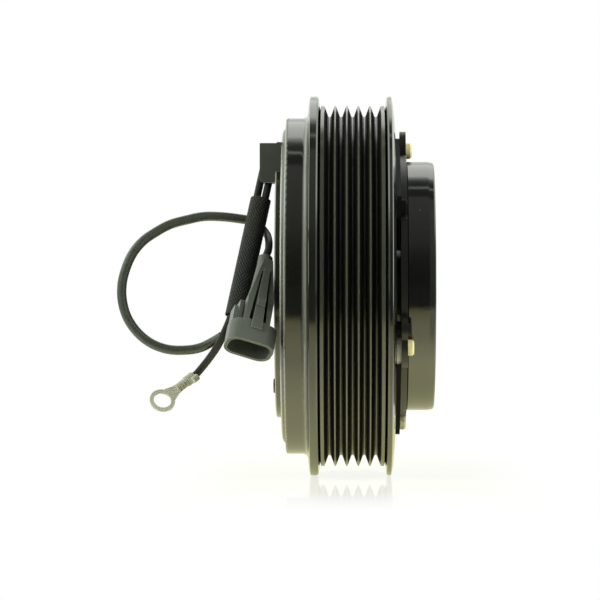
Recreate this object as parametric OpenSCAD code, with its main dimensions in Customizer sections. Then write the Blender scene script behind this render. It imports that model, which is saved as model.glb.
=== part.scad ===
// Belt-driven electromagnetic clutch of a compressor.
// The spin axis is Y: the coil is at the rear (-Y), the hub at the front (+Y), +Z is up.
// The origin is the middle of the bearing bore, in the belt's centre plane.

/* [Belt face] */
// Number of V-grooves
groove_count = 5; // [4:1:7]
// Distance from one groove to the next
groove_pitch = 3.56; // [3.2:0.02:4.4]
// Depth of a groove below the rib tips
groove_depth = 3.4; // [2.6:0.1:4]
// Full angle of a groove
groove_angle = 40; // [36:1:44]
// Radius at the bottom of a groove
groove_root_r = 0.5; // [0.3:0.05:0.7]
// Diameter over the rib tips
rib_tip_d = 111.6; // [93:0.2:136]
// Flat on the ridge outside the last groove
end_ridge_w = 0.9; // [0.5:0.1:1.5]
// Depth of the relief between that ridge and a flange
relief_depth = 1.3; // [0.8:0.1:2]
// Width of that relief at the ridge
relief_w = 0.8; // [0.6:0.1:1.4]

/* [Pulley] */
// Height of the flanges over the rib tips
flange_h = 2.9; // [1.5:0.1:5]
// Lean of a flange's inner face
flange_draft = 0.55; // [0.2:0.05:1]
// Width of the rear flange at its rim
rear_rim_w = 2.35; // [1.2:0.05:3]
// Width of the front flange at its rim
front_rim_w = 1.25; // [1:0.05:3]
// Drop of the rear flange's face at its rim
rear_taper = 0.8; // [0.5:0.05:2]
// Height of that dished face
rear_dish_h = 4; // [2:0.1:4.4]
// Drop of the front flange's face at its rim
front_taper = 1.2; // [0.4:0.05:1.5]
// Height of that dished face
front_dish_h = 8; // [4:0.1:8.4]
// Break on the flanges' inner edges
tip_break = 0.4; // [0.2:0.05:0.6]
// Wall between the groove bottoms and the rim's bore
rim_wall = 2.8; // [2:0.1:4]
// Length of the rear skirt behind the flange
skirt_len = 6.8; // [4:0.1:10]
// Wall of the rear skirt
skirt_wall = 2.4; // [1.5:0.1:3]
// Fillet between the skirt and the rear flange
skirt_fillet = 1.7; // [0.6:0.1:2.2]
// Rounding of the skirt's rear edge
skirt_round = 0.9; // [0.4:0.1:1.1]
// Chamfer on the pulley's sharp edges
edge_chamfer = 0.5; // [0.2:0.1:1]
// Thickness of the friction web
web_t = 4; // [3:0.1:6]
// Width of the arc slots in the web
web_slot_w = 2; // [1.5:0.1:3]
// Arc slots in each row of the web
web_slots = 6; // [4:1:8]
// Bridge between two slots, in degrees
web_bridge = 14; // [10:1:20]
// Wall around the bearing
seat_wall = 4; // [3:0.1:6]
// Lip that stops the bearing at the front
seat_lip = 1.5; // [1:0.1:2.5]

/* [Bearing] */
// Bore
bearing_bore_d = 35; // [29:0.5:38]
// Outside diameter
bearing_od = 52; // [50:0.5:58]
// Width
bearing_w = 20; // [18:0.5:22]
// Ball diameter
ball_d = 5.5; // [4.8:0.1:5.8]
// Balls in each row
ball_count = 16; // [12:1:18]
// Distance between the two rows
row_gap = 9.2; // [8.6:0.1:9.6]
// Clearance of a ball in its races
ball_clear = 0.01; // [0.01:0.01:0.03]
// Clearance of a ball in its cage pocket
pocket_clear = 0.1; // [0.05:0.05:0.2]
// Thickness of a seal
seal_t = 1; // [0.8:0.1:1.3]
// Thickness of the circlip
circlip_t = 1.3; // [1:0.1:1.6]
// Depth of the circlip's groove
circlip_depth = 1.3; // [1:0.1:2]

/* [Armature] */
// Thickness of the armature disc
armature_t = 4.5; // [3.5:0.1:6]
// Air gap to the friction face
air_gap = 0.5; // [0.3:0.05:0.7]
// Gap between the disc's edge and the pulley's rim
armature_gap = 1.1; // [0.8:0.1:2]
// Gap between the disc's bore and the bearing seat
armature_bore_gap = 1.5; // [1:0.1:3]
// Depth of the disc's front face below the rim's
armature_sunk = 0.1; // [0:0.1:0.5]
// Height of the spring seats on the disc
spring_seat_h = 0.3; // [0.2:0.05:0.6]
// Width of the disc's arc slots
armature_slot_w = 1.6; // [1.2:0.1:2.2]

/* [Hub] */
// Distance of the rivets from the disc's edge
rivet_inset = 6.4; // [5.5:0.1:8]
// Angle of the first hub rivet
hub_rivet_angle = 94; // [84:1:104]
// Angle from a hub rivet back to its armature rivet
spring_span = 60; // [54:1:64]
// Leaves in a spring pack
leaf_count = 3; // [2:1:4]
// Thickness of one leaf
leaf_t = 0.45; // [0.3:0.05:0.6]
// Width of a leaf
leaf_w = 7.8; // [6:0.2:9]
// Thickness of the hub plate
hub_plate_t = 1.9; // [1.5:0.1:3]
// Distance of the plate's edge inside the rivet circle
plate_inset = 1.4; // [0.5:0.1:2]
// Radius of a lobe around a hub rivet
lobe_r = 6; // [5:0.1:6.3]
// Rivet shank diameter
rivet_d = 3.2; // [2.5:0.1:3.6]
// Rivet head diameter
rivet_head_d = 4.8; // [4.2:0.1:5.2]
// Rivet head height
rivet_head_h = 1.9; // [1.2:0.1:2.4]
// Angle from a hub rivet to its rubber stop
stop_angle = 8; // [8:0.5:12]
// Diameter of a rubber stop
stop_d = 3.7; // [3:0.1:3.7]
// Height of a stop's button over the plate
stop_button_h = 1.1; // [0.6:0.1:1.6]
// Ledge of the plate outside the drum
drum_ledge = 2.2; // [1.5:0.1:4]
// Height of the drum
drum_h = 8.55; // [7:0.05:12]
// Wall of the drum
drum_wall = 2.3; // [1.5:0.1:3]
// Width of the tapered band at the drum's front
drum_band_w = 1.9; // [1:0.1:3]
// Drop of that band at the front edge
drum_band_drop = 0.3; // [0.1:0.05:0.6]
// Thickness of the drum's rear flange
drum_flange_t = 1.8; // [1.2:0.1:2.4]
// Outside diameter of the inner hub
inner_hub_d = 42; // [36:0.5:50]
// Diameter of the compressor shaft's bore
shaft_bore_d = 13; // [10.5:0.1:16]
// Wall of the hub's sleeve around that bore
sleeve_boss_wall = 4.5; // [3.5:0.1:6]
// Width of the keyway
keyway_w = 3; // [2:0.1:4]
// Depth of the keyway
keyway_h = 1.4; // [1:0.1:2]

/* [Field coil] */
// Gap between the coil and the pulley around it
coil_gap = 0.6; // [0.4:0.05:0.9]
// Gap between the coil and the web in front of it
coil_front_gap = 1; // [0.7:0.1:1.5]
// How far the coil stands out behind the skirt
coil_proud = 1.2; // [0.5:0.1:3]
// Wall of the coil's steel shell
shell_wall = 2.5; // [2:0.1:3.5]
// Radius at the shell's rear corners
shell_corner_r = 2.2; // [0.8:0.1:2.4]
// Wall of the bobbin
bobbin_wall = 1; // [0.8:0.1:1.5]
// Depth of the resin over the bobbin
potting_t = 2; // [1.5:0.1:3]
// Clearance between the coil's inner pieces
coil_clear = 0.1; // [0.05:0.05:0.2]
// Thickness of the mounting plate
plate_t = 1.8; // [1.5:0.1:3]
// Diameter of the mounting plate
mount_plate_d = 81.4; // [70:0.2:92]
// Chamfer on the plate's rear edge
plate_chamfer = 0.3; // [0.1:0.05:0.6]
// Diameter of the plate's pilot hole
pilot_d = 44; // [42:0.5:46]
// Diameter of the locating pin
pin_d = 4.5; // [3.5:0.1:5.4]
// Height of the pin behind the plate
pin_h = 0.6; // [0.4:0.1:2]
// Angle of the pin
pin_angle = -57; // [-70:1:-45]
// Distance of the pin inside the plate's edge
pin_inset = 4.5; // [3.5:0.1:6]

/* [Leads] */
// Diameter of a lead
lead_d = 2.3; // [2:0.1:2.4]
// Diameter of the tubing on the loop
tubing_d = 2.9; // [2.6:0.1:3]
// Diameter of the braided sleeve
sleeve_d = 6.4; // [6:0.1:6.6]
// Wall of the sleeve
sleeve_wall = 0.4; // [0.3:0.05:0.5]
// Clearance of a lead in its block
lead_clear = 0.1; // [0.05:0.05:0.2]
// Width of the lead block
block_w = 12.2; // [10:0.2:13]
// Depth of the block behind the coil
block_depth = 6.6; // [5.5:0.1:8]
// Height of the block
block_h = 12.1; // [10:0.1:14]
// Rounding of the block's lower rear edge
block_round = 1.6; // [1:0.1:2.5]
// Clearance around the block in the plate and shell
block_clear = 0.3; // [0.1:0.05:0.5]

/* [Connector] */
// Width of the oval shroud
connector_w = 14.5; // [13:0.1:16]
// Thickness of the oval shroud
connector_t = 9.9; // [9:0.1:11]
// Length from the mouth to the rear of the boss
connector_len = 32.8; // [31:0.1:36]
// Corner radius of the shroud
shroud_corner_r = 3.8; // [3:0.1:4.4]
// Wall of the shroud
shroud_wall = 1; // [0.8:0.1:1.3]
// Length of the shroud
shroud_len = 7; // [6.5:0.1:8]
// Depth of the shroud's hollow
shroud_depth = 6; // [5.5:0.1:6.2]
// Depth of the pocket behind it
pocket_depth = 11; // [9.5:0.1:12]
// Distance of the blade's tip behind the mouth
blade_recess = 6.6; // [6.5:0.1:7.5]
// Width of the blade
blade_w = 2.8; // [2:0.1:3]
// Thickness of the blade
blade_t = 0.8; // [0.6:0.1:1]
// Diameter of the rear boss
boss_d = 4.4; // [4.2:0.1:5]
// Diameter of the body where it meets the shroud
body_d = 7.4; // [7:0.1:8]
// Width of the flat frame on the front
frame_w = 8; // [7:0.1:9]
// Thickness of that frame
frame_t = 3.2; // [2.5:0.1:3.5]
// Width of the locking bar at its free end
bar_w = 3.3; // [3:0.1:3.6]
// Lean of the mouth towards the viewer
connector_lean = 33; // [28:1:36]
// Tilt of the mouth to the rear
connector_tilt = 9.6; // [9:0.2:12]
// Roll of the front towards the plate
connector_roll = 14; // [8:1:18]

/* [Ring terminal] */
// Outside diameter of the ring
terminal_d = 7.7; // [7.4:0.1:9]
// Hole for a screw
terminal_hole_d = 5.4; // [4.2:0.1:5.6]
// Thickness of the sheet
terminal_t = 0.7; // [0.6:0.1:1.2]
// Length from the ring's centre to the end of the crimp
terminal_len = 13.5; // [12.5:0.1:15]
// Diameter of the conductor crimp
crimp_d = 2.8; // [2.4:0.1:3]
// Ridges on the conductor crimp
crimp_ridges = 4; // [3:1:5]
// Length of the insulation crimp
insulation_crimp_len = 2.7; // [2.2:0.1:3.2]

/* [Hidden] */
$fn = 96;

// A cut runs this far past the face that it opens
over = 0.5;

// The round end of an arc slot is this much narrower than the slot
slot_end_step = 0.03;

// Belt face
rib_tip_r = rib_tip_d / 2;
groove_bottom_r = rib_tip_r - groove_depth;
groove_half_angle = groove_angle / 2;
groove_centre_r = groove_bottom_r + groove_root_r;
flank_foot_r = groove_centre_r - groove_root_r * sin(groove_half_angle);
flank_foot_y = groove_root_r * cos(groove_half_angle);
groove_half_w = flank_foot_y + (rib_tip_r - flank_foot_r) * tan(groove_half_angle);
last_groove_y = (groove_count - 1) / 2 * groove_pitch;
ridge_edge_y = last_groove_y + groove_half_w + end_ridge_w;
relief_y = ridge_edge_y + relief_w / 2;
relief_r = rib_tip_r - relief_depth;
relief_lean = 0.35;

// Pulley
flange_r = rib_tip_r + flange_h;
flange_inner_y = relief_y + flange_draft;
rim_front_y = flange_inner_y + front_rim_w + front_taper;
rim_rear_y = -(flange_inner_y + rear_rim_w + rear_taper);
rim_bore_r = groove_bottom_r - rim_wall;
skirt_r = rim_bore_r + skirt_wall;
skirt_rear_y = rim_rear_y - skirt_len;
web_row_places = [0.28, 0.72];

// Curve of a dished flange face: shares of its height below the rim and of its drop
dish_shares = [[0, 1], [0.09, 0.8], [0.36, 0.46], [0.75, 0.2]];

// Armature and hub, stacked from the rim's front face
armature_front_y = rim_front_y - armature_sunk;
armature_rear_y = armature_front_y - armature_t;
spring_rear_y = armature_front_y + spring_seat_h;
hub_plate_rear_y = spring_rear_y + leaf_count * leaf_t;
hub_plate_front_y = hub_plate_rear_y + hub_plate_t;
drum_front_y = hub_plate_front_y + drum_h;
web_front_y = armature_rear_y - air_gap;
web_rear_y = web_front_y - web_t;

// Bearing
bearing_r = bearing_od / 2;
bearing_bore_r = bearing_bore_d / 2;
bearing_half_w = bearing_w / 2;
ball_r = ball_d / 2;
ball_pitch_r = (bearing_r + bearing_bore_r) / 2;
race_ratio = 1.04;
race_r = ball_r * race_ratio;
shoulder_ratio = 0.53;
inner_shoulder_r = ball_pitch_r - ball_r * shoulder_ratio;
outer_shoulder_r = ball_pitch_r + ball_r * shoulder_ratio;
seal_step = 0.7;
seal_cut_w = 4;
seal_seat_r = outer_shoulder_r + seal_step;
seal_lip_gap = 0.06;
seal_inset = 0.3;
cage_t = 1.5;
cage_seal_gap = 0.4;
cage_prong = 1;
cage_outer_y = bearing_half_w - seal_inset - seal_t - cage_seal_gap;
cage_inner_y = row_gap / 2 - cage_prong;
seat_r = bearing_r + seat_wall;
seat_tail = 1.4;
seat_rear_y = -bearing_half_w - circlip_t - seat_tail;
seat_front_y = bearing_half_w + seat_lip;
lip_h = 1.6;
lip_r = bearing_r - lip_h;
circlip_groove_r = bearing_r + circlip_depth;
circlip_clear = 0.05;
circlip_w = 2.9;
circlip_gap_angle = 24;
circlip_lug_angle = 15;
circlip_lug_r = 2.4;
circlip_hole_r = 0.9;

// Armature, springs and hub plate
armature_r = rim_bore_r - armature_gap;
armature_bore_r = seat_r + armature_bore_gap;
rivet_circle_r = armature_r - rivet_inset;
rivet_r = rivet_d / 2;
rivet_head_r = rivet_head_d / 2;
rivet_clear = 0.05;
rivet_edge = 0.5;
rivet_recess = 0.2;
tail_r = rivet_head_r - rivet_recess / 2;
tail_h = 0.8;
tail_room = 0.6;
countersink_h = 1.2;
countersink_r = rivet_r + countersink_h;
slot_bridge = 0.5;
slot_margin = 12;
armature_slot_r = rivet_circle_r - tail_r - tail_room - armature_slot_w / 2 - slot_bridge;
hub_plate_r = rivet_circle_r - plate_inset;
inner_hub_r = inner_hub_d / 2;
plate_bore_gap = 3;
hub_plate_bore_r = inner_hub_r + plate_bore_gap;
scallop_gap = 1;
stop_offset = 0.4;
stop_circle_r = rivet_circle_r + stop_offset;
stop_r = stop_d / 2;
stop_stem_ratio = 0.65;
stop_stem_r = stop_r * stop_stem_ratio;
stop_lobe_r = 4.3;
stop_touch = 0.05;
spring_count = 3;
spring_step = 360 / spring_count;
spring_half_span = spring_span / 2;
spring_mid_r = rivet_circle_r * cos(spring_half_span);
spring_half_len = rivet_circle_r * sin(spring_half_span);
spring_seat_inset = 0.7;
spring_seat_r = leaf_w / 2 - spring_seat_inset;
drum_r = hub_plate_r - drum_ledge;
drum_inner_r = drum_r - drum_wall;
drum_edge = 0.4;
drum_flange_gap = 6;
drum_flange_r = inner_hub_r + drum_flange_gap;
shaft_bore_r = shaft_bore_d / 2;
sleeve_boss_r = shaft_bore_r + sleeve_boss_wall;
rubber_sunk = 1.2;
rubber_front_y = drum_front_y - rubber_sunk;
rubber_rear_y = hub_plate_front_y + drum_flange_t;
rubber_dish = 1.1;
rubber_dish_half_w = 4.4;
rubber_dish_slope = 1;
hub_disc_sunk = 1.6;
hub_disc_front_y = drum_front_y - hub_disc_sunk;
hub_disc_lift = 0.6;
hub_disc_rear_y = rubber_rear_y + hub_disc_lift;
boss_seat_gap = 1.2;
sleeve_boss_rear_y = seat_front_y + boss_seat_gap;
nut_wall = 1.2;
nut_recess_r = sleeve_boss_r - nut_wall;
nut_recess_depth = 2;
hub_groove_depth = 1.4;
hub_groove_inset = 2;
hub_groove_rim = 3;
hub_groove_inner_r = sleeve_boss_r + hub_groove_inset;
hub_groove_outer_r = inner_hub_r - hub_groove_rim;

// Field coil
shell_r = rim_bore_r - coil_gap;
shell_bore_r = seat_r + coil_gap;
shell_front_y = web_rear_y - coil_front_gap;
shell_rear_y = skirt_rear_y - coil_proud;
channel_r = shell_r - shell_wall;
channel_bore_r = shell_bore_r + shell_wall;
channel_rear_y = shell_rear_y + shell_wall;
bobbin_front_y = shell_front_y - potting_t;
mount_plate_r = min(mount_plate_d / 2, shell_r - shell_corner_r);
plate_rear_y = shell_rear_y - plate_t;
pin_circle_r = mount_plate_r - pin_inset;
pin_clear = 0.05;
pin_edge = 0.2;

// Lead block
block_x = 14.6;
block_bottom_z = 31.4;
block_top_z = block_bottom_z + block_h;
block_rear_y = shell_rear_y - block_depth;
block_lip = 0.3;
block_lip_w = 1.4;
lead_hole_len = 14;
spigot_w = 7;
spigot_h = 5;
spigot_z = 37.2;

// Moves places measured from the plate's rear face to where that face is
function behind_plate(places) = [for (p = places) p + [0, plate_rear_y, 0]];

// Braided sleeve, from its upper to its lower end
sleeve_ends = behind_plate([[18, -4.5, 26.4], [30, -11.9, -9.2]]);

// Centre line of the ground lead, from the block to the terminal
ground_route = behind_plate([
    [14.8, -3.8, 35.9], [16.7, -5, 30.3], [20.4, -7.3, 19.2], [24.2, -9.6, 8], [27.9, -11.9, -3.1],
    [29.8, -13.1, -8.7], [30.6, -14, -11.4], [30.9, -14.9, -13.5], [30.4, -16.1, -16.1],
    [28.6, -17.7, -18.9], [26, -19.8, -21.8], [23.9, -21.9, -24.4], [22.6, -23.9, -26.7],
    [23.5, -25, -27.5], [24.8, -26.4, -28.7]
]);

// Centre line of the feed lead, from the block to the loop
feed_route = behind_plate([
    [15.3, -1.5, 34.5], [16.8, -2.5, 29.9], [20.6, -4.8, 18.7], [24.3, -7.1, 7.6], [28.1, -9.4, -3.6],
    [29.9, -10.6, -9.1], [29.3, -12, -11.7], [28, -13.9, -13.6], [26.8, -16.1, -15.2]
]);

// Centre line of the tubing round the loop
loop_route = behind_plate([
    [26.8, -16.1, -15.2], [25.8, -18.9, -16.9], [25.3, -22.7, -18.7], [25.2, -27, -19.4],
    [25.2, -32.3, -19.2], [25.2, -37.4, -17.4], [25.3, -41.6, -14.1], [25.5, -44.7, -9.6],
    [25.5, -46.2, -4.5], [25.4, -46.3, 0.6], [25.2, -45.1, 5.5], [24.6, -43.1, 9.9],
    [23.6, -40.1, 13.6], [22.4, -36.2, 16.4], [21, -32, 18.7], [19.6, -27.2, 20.1], [18, -21.8, 21.2],
    [16.4, -15.6, 21.1], [15.1, -9.9, 20.4], [15.2, -7.1, 19.9]
]);

// Centre line of the feed lead from the loop into the connector
tail_route = behind_plate([
    [15.2, -7.1, 19.9], [15.5, -5.1, 18.6], [16.6, -3.6, 17.1], [19, -2.5, 15.5], [23, -2, 14],
    [27, -1.8, 12.6], [30, -1.9, 10.8], [32, -2.7, 8.4], [35.3, -3.5, 3.4]
]);

// Connector, placed by the rear of its boss
connector_rear = tail_route[len(tail_route) - 2];
boss_bore_r = 1.65;
seal_len = 2.6;
terminal_cavity_end = 17;
blade_clear = 0.05;
body_front_z = shroud_len;
body_rear_z = connector_len - 3.4;
pocket_w = 4.6;
pocket_t = 4;
frame_wide_z = 15;
frame_top_z = 29.4;
frame_top_w = 2.8;
bar_low_z = 4.4;
bar_high_z = 25;
bar_top_w = 1.8;
bar_proud = 0.6;
bar_slot_w = 1;
bar_slot_low_z = 7.4;
bar_boss = 2.2;
bar_boss_h = 0.7;
bar_boss_z = 12;
fin_t = 1.2;
fin_inset = 2.4;
fin_depth = 4.4;
fins = [[5, 14.4], [6.4, 12]];
blade_crimp_gap = 0.2;
seal_sunk = 0.3;

// Ring terminal, placed by the centre of its ring
terminal_place = behind_plate([[31, -33.8, -34.5]])[0];
terminal_roll = 20;
terminal_tip = 38;
terminal_turn = 44;
crimp_start = 6.3;
wing_d = 2.1;
wing_bore_d = 1.3;
wing_len = 2;
wing_offset = [-1.5, 1.7];
crimp_floor = 0.4;
crimp_groove = 0.2;
ridge_share = 0.6;
neck_root_inset = 0.6;
neck_lap = 1;
crimp_wall = 0.5;
insulation_crimp_d = lead_d + 2 * crimp_wall;

// Turns shapes built along Z so that they lie along the spin axis
module along_axis() {
    rotate([-90, 0, 0]) children();
}

// Revolves a section drawn as radius and Y
module revolved() {
    along_axis() rotate_extrude() children();
}

// Thickens a flat outline from one Y to another
module sheet(rear, front) {
    translate([0, rear, 0]) along_axis() linear_extrude(front - rear) children();
}

// Places an outline at an angle from +X towards +Z
module around(angle, radius) {
    rotate(-angle) translate([radius, 0]) children();
}

// Places a solid at an angle from +X towards +Z
module around_axis(angle, radius) {
    rotate([0, -angle, 0]) translate([radius, 0, 0]) children();
}

// Round bar along the spin axis
module bar(radius, rear, front) {
    translate([0, rear, 0]) along_axis() cylinder(r = radius, h = front - rear);
}

// Ring section from one radius and Y to another
module band(inner, outer, rear, front) {
    translate([inner, rear]) square([outer - inner, front - rear]);
}

// Arc slot through a web, with round ends
module arc_slot(radius, width, rear, front, start, span) {
    rotate([0, -start - span, 0])
        along_axis()
            rotate_extrude(angle = span) band(radius - width / 2, radius + width / 2, rear, front);
    for (end = [start, start + span]) {
        around_axis(end, radius) bar(width / 2 - slot_end_step, rear, front);
    }
}

// Rectangle with round corners
module rounded(width, depth, radius) {
    square([width - 2 * radius, depth], center = true);
    square([width, depth - 2 * radius], center = true);
    for (x = [-1, 1], y = [-1, 1]) {
        translate([x * (width / 2 - radius), y * (depth / 2 - radius)]) circle(radius);
    }
}

// Stands a shape built along Z between two points
module between(low, high) {
    run = high - low;
    translate(low) rotate([0, acos(run[2] / norm(run)), atan2(run[1], run[0])]) children();
}

// Smooth curve through the points of a route
function spline(a, b, c, d, t) =
    0.5 * (2 * b + (c - a) * t + (2 * a - 5 * b + 4 * c - d) * t * t + (3 * b - a - 3 * c + d) * t * t * t);
function smooth(route, steps) = concat(
    [for (i = [0 : len(route) - 2], s = [0 : steps - 1])
        spline(route[max(i - 1, 0)], route[i], route[i + 1], route[min(i + 2, len(route) - 1)], s / steps)],
    [route[len(route) - 1]]
);
function unit(v) = v / norm(v);
function headings(line) = [for (i = [0 : len(line) - 1])
    unit(line[min(i + 1, len(line) - 1)] - line[max(i - 1, 0)])];
function square_to(v, heading) = unit(v - (v * heading) * heading);

// Side directions carried along a curve without twist
function carried(ways, side, i = 0, done = []) =
    i == len(ways) ? done :
    let (next = square_to(side, ways[i])) carried(ways, next, i + 1, concat(done, [next]));

// Round tube swept along a route
module tube(route, diameter, steps = 2, sides = 8) {
    line = smooth(route, steps);
    ways = headings(line);
    side = carried(ways, [1, 0, 0.3]);
    last = len(line) - 1;
    // The flats of the many-sided tube stay as far out as the round one's mean
    radius = diameter / 2 / sqrt(cos(180 / sides));
    points = [for (i = [0 : last], k = [0 : sides - 1])
        line[i] + radius * (cos(360 * k / sides) * side[i] + sin(360 * k / sides) * cross(ways[i], side[i]))];
    walls = [for (i = [0 : last - 1], k = [0 : sides - 1], half = [0, 1])
        let (a = i * sides + k, b = i * sides + (k + 1) % sides, c = a + sides, d = b + sides)
        half == 0 ? [a, c, b] : [b, c, d]];
    start_cap = [for (k = [1 : sides - 2]) [0, k, k + 1]];
    end_cap = [for (k = [1 : sides - 2]) [last * sides, last * sides + k + 1, last * sides + k]];
    polyhedron(points = points, faces = concat(walls, start_cap, end_cap));
}

// Straight clearance hole along the first stretch of a lead
module lead_hole(route) {
    way = unit(route[1] - route[0]);
    between(route[0], route[0] + way * lead_hole_len)
        cylinder(d = lead_d + 2 * lead_clear, h = lead_hole_len);
}

function hub_angle(i) = hub_rivet_angle + i * spring_step;
function tail_angle(i) = hub_angle(i) - spring_span;

// Field coil

module coil_shell() {
    color("#2b2c2c")
    difference() {
        revolved() {
            difference() {
                union() {
                    band(shell_bore_r, shell_r, shell_rear_y + shell_corner_r, shell_front_y);
                    band(shell_bore_r + shell_corner_r, shell_r - shell_corner_r,
                         shell_rear_y, shell_front_y);
                    for (r = [shell_bore_r + shell_corner_r, shell_r - shell_corner_r]) {
                        translate([r, shell_rear_y + shell_corner_r]) circle(shell_corner_r);
                    }
                }
                band(channel_bore_r, channel_r, channel_rear_y, shell_front_y + over);
            }
        }
        translate([block_x, channel_rear_y, spigot_z])
            cube([spigot_w + 2 * coil_clear, 2 * shell_wall + over, spigot_h + 2 * coil_clear],
                 center = true);
    }
}

module coil_bobbin() {
    inner = channel_bore_r + coil_clear;
    outer = channel_r - coil_clear;
    color("#d9d4c3")
    revolved() {
        difference() {
            band(inner, outer, channel_rear_y, bobbin_front_y);
            band(inner + bobbin_wall, outer + over,
                 channel_rear_y + bobbin_wall, bobbin_front_y - bobbin_wall);
        }
    }
}

module coil_winding() {
    color("#a65e2e")
    revolved() {
        band(
            channel_bore_r + 2 * coil_clear + bobbin_wall, channel_r - 3 * coil_clear,
            channel_rear_y + coil_clear + bobbin_wall, bobbin_front_y - bobbin_wall - coil_clear
        );
    }
}

module coil_potting() {
    color("#33352f")
    revolved() {
        band(channel_bore_r + coil_clear, channel_r - coil_clear, bobbin_front_y, shell_front_y);
    }
}

module mounting_plate() {
    color("#3a3b36")
    difference() {
        revolved() {
            polygon([[pilot_d / 2, plate_rear_y], [mount_plate_r - plate_chamfer, plate_rear_y],
                     [mount_plate_r, plate_rear_y + plate_chamfer], [mount_plate_r, shell_rear_y],
                     [pilot_d / 2, shell_rear_y]]);
        }
        sheet(plate_rear_y - over, shell_rear_y + over) {
            around(pin_angle, pin_circle_r) circle(d = pin_d + 2 * pin_clear);
            translate([block_x, -block_bottom_z - block_h / 2 + block_clear])
                square([block_w + 2 * block_clear, block_h + 4 * block_clear], center = true);
        }
    }
}

module locating_pin() {
    color("#5c5d57")
    around_axis(pin_angle, pin_circle_r)
        translate([0, plate_rear_y - pin_h, 0])
            along_axis()
                rotate_extrude() {
                    translate([0, pin_edge]) square([pin_d / 2, plate_t + pin_h - pin_edge]);
                    square([pin_d / 2 - pin_edge, plate_t + pin_h]);
                }
}

module lead_block() {
    color("#26282a")
    difference() {
        union() {
            translate([block_x - block_w / 2, 0, 0])
                rotate([90, 0, 90])
                    linear_extrude(block_w) {
                        translate([block_rear_y, block_bottom_z + block_round])
                            square([block_depth, block_h - block_round]);
                        translate([block_rear_y + block_round, block_bottom_z])
                            square([block_depth - block_round, block_h]);
                        translate([block_rear_y + block_round, block_bottom_z + block_round])
                            circle(block_round);
                        translate([shell_rear_y - block_lip_w, block_bottom_z])
                            square([block_lip_w, block_h + block_lip]);
                    }
            translate([block_x - spigot_w / 2, shell_rear_y, spigot_z - spigot_h / 2])
                cube([spigot_w, shell_wall, spigot_h]);
        }
        lead_hole(ground_route);
        lead_hole(feed_route);
    }
}

// Leads

module ground_lead() {
    color("#1c1e1d") tube(ground_route, lead_d);
}

module feed_lead() {
    color("#1c1e1d") {
        tube(feed_route, lead_d);
        tube(tail_route, lead_d);
    }
}

module loop_tubing() {
    color("#33362f") tube(loop_route, tubing_d);
}

module lead_sleeve() {
    length = norm(sleeve_ends[1] - sleeve_ends[0]);
    color("#232625")
    between(sleeve_ends[0], sleeve_ends[1])
        difference() {
            cylinder(d = sleeve_d, h = length);
            translate([0, 0, -over]) cylinder(d = sleeve_d - 2 * sleeve_wall, h = length + 2 * over);
        }
}

// Places the terminal: its ring faces +Z and its crimp runs along +X before this
module terminal_frame() {
    translate(terminal_place)
        rotate([-terminal_roll, 0, 0])
            rotate([0, -terminal_tip, 0])
                rotate([terminal_roll + terminal_turn, 0, 0])
                    rotate([90, 0, 90])
                        children();
}

module ring_terminal() {
    neck_half_w = crimp_d / 2;
    root_half_w = terminal_d / 2 - neck_root_inset;
    neck_end = crimp_start + neck_lap;
    conductor_end = terminal_len - insulation_crimp_len;
    ridge_step = (conductor_end - crimp_start) / crimp_ridges;
    color("#b9b7a4")
    terminal_frame()
        difference() {
            union() {
                translate([0, 0, -terminal_t / 2]) {
                    cylinder(d = terminal_d, h = terminal_t);
                    linear_extrude(terminal_t)
                        polygon([[0, -root_half_w], [crimp_start, -neck_half_w], [neck_end, -neck_half_w],
                                 [neck_end, neck_half_w], [crimp_start, neck_half_w], [0, root_half_w]]);
                }
                translate([crimp_start, 0, 0])
                    rotate([0, 90, 0])
                        cylinder(d = crimp_d - 2 * crimp_groove, h = conductor_end - crimp_start);
                for (i = [0 : crimp_ridges - 1]) {
                    translate([crimp_start + i * ridge_step, 0, 0])
                        rotate([0, 90, 0])
                            cylinder(d = crimp_d, h = ridge_step * ridge_share);
                }
                translate([conductor_end, 0, 0])
                    rotate([0, 90, 0])
                        cylinder(d = insulation_crimp_d, h = insulation_crimp_len);
                translate([terminal_len - wing_len, wing_offset[0], wing_offset[1]])
                    rotate([0, 90, 0])
                        cylinder(d = wing_d, h = wing_len);
            }
            // Hollow of the curled wing beside the insulation crimp
            translate([terminal_len - wing_len, wing_offset[0], wing_offset[1]])
                rotate([0, 90, 0])
                    translate([0, 0, crimp_floor])
                        cylinder(d = wing_bore_d, h = wing_len);
            translate([0, 0, -terminal_t]) cylinder(d = terminal_hole_d, h = 2 * terminal_t);
            translate([conductor_end + crimp_floor, 0, 0])
                rotate([0, 90, 0])
                    cylinder(d = lead_d + 4 * lead_clear, h = insulation_crimp_len + over);
        }
}

// Places the connector: its mouth is at Z 0 and its rear boss points along +Z before this
module connector_frame() {
    translate(connector_rear)
        rotate([-connector_tilt, 0, 0])
            rotate([0, -connector_lean, 0])
                rotate([0, 0, 90 + connector_roll])
                    translate([0, 0, -connector_len])
                        children();
}

// Thickens an outline drawn as width and height, from one depth to another
module upright(front, rear) {
    translate([0, rear, 0]) rotate([90, 0, 0]) linear_extrude(rear - front) children();
}

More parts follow.
